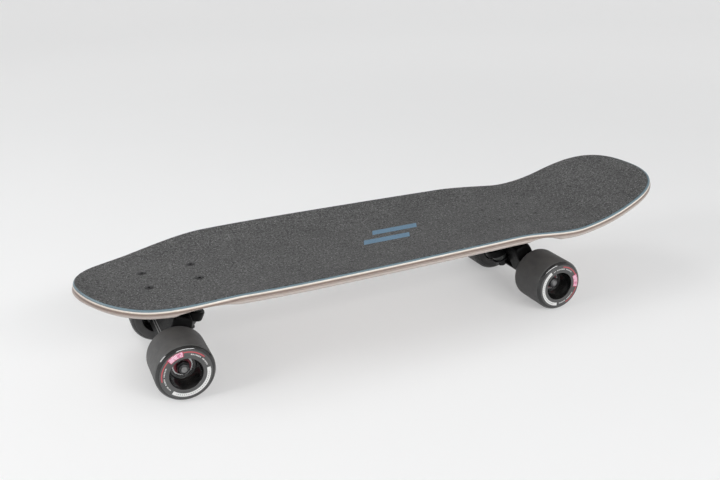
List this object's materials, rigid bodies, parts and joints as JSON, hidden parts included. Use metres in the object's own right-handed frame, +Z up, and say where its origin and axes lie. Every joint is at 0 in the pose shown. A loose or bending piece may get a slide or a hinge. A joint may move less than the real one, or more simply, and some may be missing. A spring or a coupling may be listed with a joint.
{
  "type": "cruiser skateboard",
  "caption": "Cruiser skateboard with a gritted maple deck, kicked tail, two sprung turning trucks and wide soft wheels on ball bearings.",
  "frame": {"origin": "on the floor under the middle of the board's length, on its centre plane", "axes": "+X along the board towards the raised tail, +Y across it, +Z up"},
  "size_m": [0.7239, 0.2116, 0.1408],
  "materials": {
    "pressed_maple": "sanded maple plies, clear lacquer, one dyed blue ply under the top",
    "grip_grit": "fine silicon carbide grit on black tape",
    "riser_rubber": "matte moulded rubber",
    "black_painted_metal": "cast aluminium, black powder coat",
    "black_oxide_steel": "black oxide steel, light oil sheen",
    "bright_steel": "ground steel",
    "bushing_urethane": "cast urethane, dark grey green",
    "pivot_cup_plastic": "moulded nylon",
    "wheel_urethane": "poured urethane, matte tread and glossy lip"
  },
  "bodies": {
    "board": {"deck": "pressed_maple", "grip_tape": "grip_grit", "front_riser_pad": "riser_rubber", "front_baseplate": "black_painted_metal", "front_pivot_cup": "pivot_cup_plastic", "front_kingpin": "black_oxide_steel", "front_kingpin_nut": "black_oxide_steel", "front_board_bushing": "bushing_urethane", "front_road_bushing": "bushing_urethane", "front_board_cup_washer": "black_oxide_steel", "front_road_cup_washer": "black_oxide_steel", "front_mounting_bolt_1": "black_oxide_steel", "front_mounting_bolt_2": "black_oxide_steel", "front_mounting_bolt_3": "black_oxide_steel", "front_mounting_bolt_4": "black_oxide_steel", "rear_riser_pad": "riser_rubber", "rear_baseplate": "black_painted_metal", "rear_pivot_cup": "pivot_cup_plastic", "rear_kingpin": "black_oxide_steel", "rear_kingpin_nut": "black_oxide_steel", "rear_board_bushing": "bushing_urethane", "rear_road_bushing": "bushing_urethane", "rear_board_cup_washer": "black_oxide_steel", "rear_road_cup_washer": "black_oxide_steel", "rear_mounting_bolt_1": "black_oxide_steel", "rear_mounting_bolt_2": "black_oxide_steel", "rear_mounting_bolt_3": "black_oxide_steel", "rear_mounting_bolt_4": "black_oxide_steel"},
    "front_hanger_body": {"front_hanger": "black_painted_metal", "front_axle": "bright_steel", "front_axle_nut_1": "black_oxide_steel", "front_axle_nut_2": "black_oxide_steel", "front_left_bearing_spacer": "bright_steel", "front_left_inboard_bearing_inner_ring": "bright_steel", "front_left_outboard_bearing_inner_ring": "bright_steel", "front_right_bearing_spacer": "bright_steel", "front_right_inboard_bearing_inner_ring": "bright_steel", "front_right_outboard_bearing_inner_ring": "bright_steel"},
    "rear_hanger_body": {"rear_hanger": "black_painted_metal", "rear_axle": "bright_steel", "rear_axle_nut_1": "black_oxide_steel", "rear_axle_nut_2": "black_oxide_steel", "rear_left_bearing_spacer": "bright_steel", "rear_left_inboard_bearing_inner_ring": "bright_steel", "rear_left_outboard_bearing_inner_ring": "bright_steel", "rear_right_bearing_spacer": "bright_steel", "rear_right_inboard_bearing_inner_ring": "bright_steel", "rear_right_outboard_bearing_inner_ring": "bright_steel"},
    "front_left_wheel_body": {"front_left_wheel": "wheel_urethane", "front_left_inboard_bearing_outer_ring": "bright_steel", "front_left_outboard_bearing_outer_ring": "bright_steel"},
    "front_right_wheel_body": {"front_right_wheel": "wheel_urethane", "front_right_inboard_bearing_outer_ring": "bright_steel", "front_right_outboard_bearing_outer_ring": "bright_steel"},
    "rear_left_wheel_body": {"rear_left_wheel": "wheel_urethane", "rear_left_inboard_bearing_outer_ring": "bright_steel", "rear_left_outboard_bearing_outer_ring": "bright_steel"},
    "rear_right_wheel_body": {"rear_right_wheel": "wheel_urethane", "rear_right_inboard_bearing_outer_ring": "bright_steel", "rear_right_outboard_bearing_outer_ring": "bright_steel"}
  },
  "joints": [
    {"name": "front_truck_lean", "type": "hinge", "parent": "board", "child": "front_hanger_body", "pos_m": [-0.24293, 0, 0.05217], "axis": [0.9063, 0, -0.4226], "range_deg": [-12, 12], "stiffness_Nm_per_rad": 40, "deforming": ["front_board_bushing", "front_road_bushing"]},
    {"name": "rear_truck_lean", "type": "hinge", "parent": "board", "child": "rear_hanger_body", "pos_m": [0.15853, 0, 0.05217], "axis": [0.9063, 0, 0.4226], "range_deg": [-12, 12], "stiffness_Nm_per_rad": 40, "deforming": ["rear_board_bushing", "rear_road_bushing"]},
    {"name": "front_left_wheel_spin", "type": "hinge", "parent": "front_hanger_body", "child": "front_left_wheel_body", "pos_m": [-0.271, -0.07105, 0.0315], "axis": [0, 1, 0], "continuous": true},
    {"name": "front_right_wheel_spin", "type": "hinge", "parent": "front_hanger_body", "child": "front_right_wheel_body", "pos_m": [-0.271, 0.07105, 0.0315], "axis": [0, 1, 0], "continuous": true},
    {"name": "rear_left_wheel_spin", "type": "hinge", "parent": "rear_hanger_body", "child": "rear_left_wheel_body", "pos_m": [0.1866, -0.07105, 0.0315], "axis": [0, 1, 0], "continuous": true},
    {"name": "rear_right_wheel_spin", "type": "hinge", "parent": "rear_hanger_body", "child": "rear_right_wheel_body", "pos_m": [0.1866, 0.07105, 0.0315], "axis": [0, 1, 0], "continuous": true}
  ]
}
